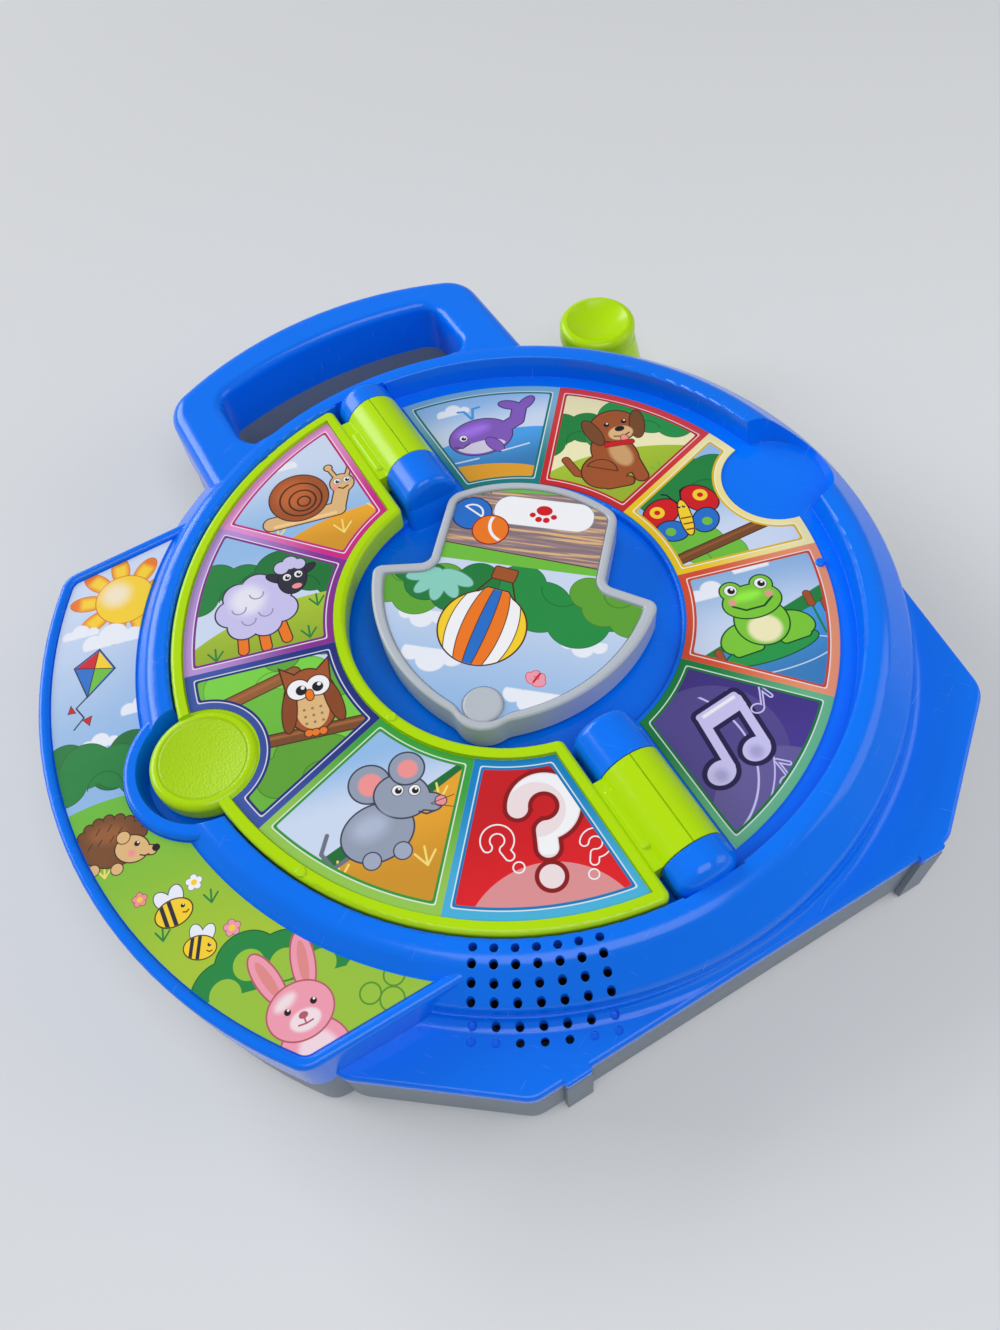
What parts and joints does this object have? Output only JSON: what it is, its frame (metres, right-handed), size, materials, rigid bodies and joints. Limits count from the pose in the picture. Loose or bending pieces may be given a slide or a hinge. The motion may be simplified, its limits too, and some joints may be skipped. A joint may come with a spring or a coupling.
{
  "type": "animal sound spinner toy",
  "caption": "Round hand-held sound toy with a turning arrow, picture sectors on a flip-over half page, a pull lever, a carrying handle and a flat standing base.",
  "frame": {"origin": "on the spinner axis, in the plane of the flat back that the toy lies on", "axes": "+Z out of the picture face along the spinner axis, +Y towards the carrying handle along the page hinge, +X to the side of the lever"},
  "size_m": [0.2564, 0.2697, 0.051],
  "materials": {
    "blue_plastic": "moulded, satin gloss",
    "lime_plastic": "moulded, satin gloss",
    "light_grey_plastic": "moulded, satin gloss",
    "rear_grey_plastic": "moulded, fine matt texture",
    "printed_label": "laminated colour print",
    "black_plastic": "moulded, matt",
    "board_laminate": "solder mask",
    "steel": "zinc plated",
    "spring_steel": "bright drawn wire",
    "contact_brass": "nickel flashed",
    "cell_can": "printed steel can"
  },
  "bodies": {
    "housing": {"front_housing": "blue_plastic", "rear_housing": "rear_grey_plastic", "battery_door": "rear_grey_plastic", "door_screw": "steel", "hinge_pins": "steel", "right_recess_picture": "printed_label", "left_recess_picture": "printed_label", "wing_picture": "printed_label", "position_board": "board_laminate", "lever_washer": "steel", "lever_screw": "steel", "lever_return_spring": "spring_steel", "speaker_driver": "black_plastic", "circuit_board": "board_laminate", "board_components": "black_plastic", "batteries": "cell_can", "battery_contacts": "spring_steel", "housing_screws": "steel", "base_pads": "rear_grey_plastic"},
    "page": {"page_front_shell": "lime_plastic", "page_back_shell": "lime_plastic", "page_hinge_caps": "lime_plastic", "page_front_picture": "printed_label", "page_back_picture": "printed_label"},
    "pointer": {"pointer_body": "light_grey_plastic", "pointer_picture": "printed_label", "pointer_wheel": "black_plastic", "pointer_screw": "steel", "contact_wiper": "contact_brass"},
    "lever": {"lever_arm": "lime_plastic", "lever_knob": "lime_plastic"}
  },
  "joints": [
    {"name": "page_flip", "type": "hinge", "parent": "housing", "child": "page", "pos_m": [0, 0, 0.0417], "axis": [0, 1, 0], "range_deg": [0, 180]},
    {"name": "pointer_spin", "type": "hinge", "parent": "housing", "child": "pointer", "pos_m": [0, 0, 0.036], "axis": [0, 0, 1], "continuous": true},
    {"name": "lever_pull", "type": "hinge", "parent": "housing", "child": "lever", "pos_m": [0, 0, 0.0145], "axis": [0, 0, 1], "range_deg": [-60, 0], "stiffness_Nm_per_rad": 0.35, "springref_deg": 20.05}
  ]
}
